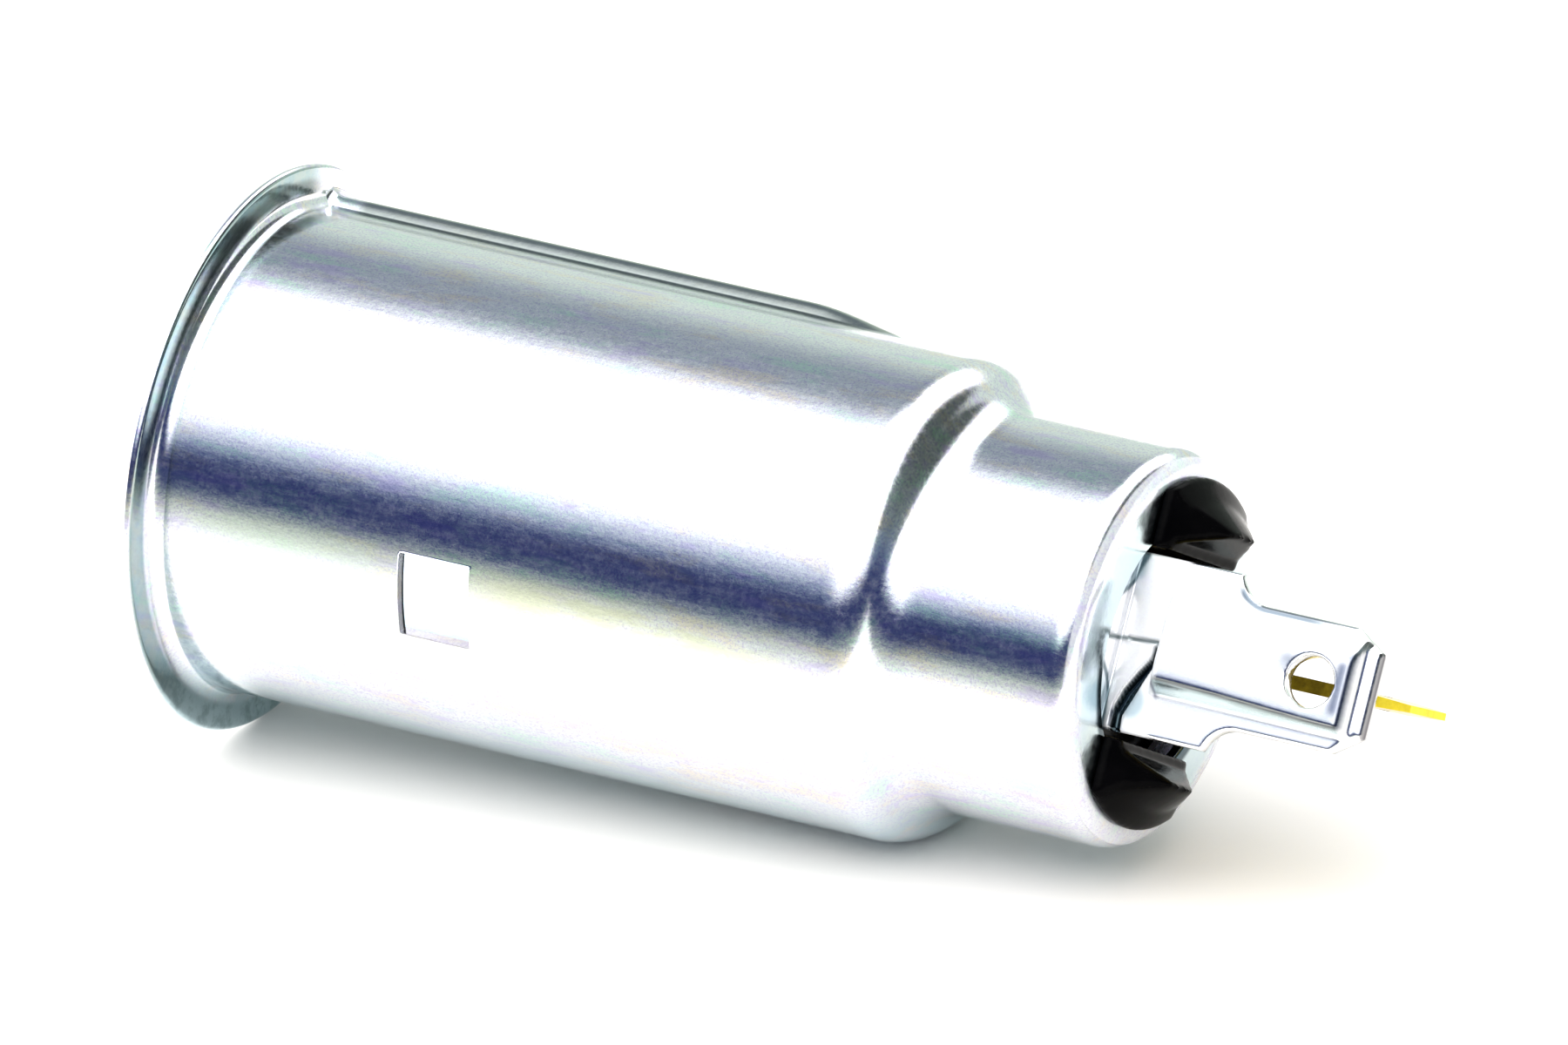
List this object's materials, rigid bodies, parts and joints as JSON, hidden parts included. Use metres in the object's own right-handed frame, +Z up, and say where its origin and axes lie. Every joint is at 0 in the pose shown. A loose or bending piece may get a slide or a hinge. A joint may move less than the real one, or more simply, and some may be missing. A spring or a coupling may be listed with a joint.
{
  "type": "12 V vehicle power socket",
  "caption": "Drawn steel power socket can with a mouth flange, key rib, side windows, a necked end and two blade terminals on a snapped-in insulator.",
  "frame": {"origin": "centre of the panel plane: on the socket's axis, at the flange's back face, which rests on the panel", "axes": "+X along the socket's axis from the mouth to the terminals, +Z up, windows on the -Y and +Y sides"},
  "size_m": [0.0596, 0.0264, 0.0264],
  "materials": {
    "zinc_steel": "bright zinc-plated drawn steel, fine drawing grain",
    "black_plastic": "glossy moulded black",
    "plated_steel": "bright tin-plated strip",
    "brass": "plain rolled brass",
    "nickel": "nickel-plated spring strip",
    "mica": "matt laminated disc",
    "spring_steel": "oiled spring steel"
  },
  "bodies": {
    "root": {"shell": "zinc_steel", "insulator": "black_plastic", "ground_terminal": "plated_steel", "centre_terminal": "brass", "centre_rivet": "brass", "rivet_washer": "brass", "contact_cup": "nickel", "mica_disc": "mica", "spring_washer": "spring_steel"}
  },
  "joints": []
}
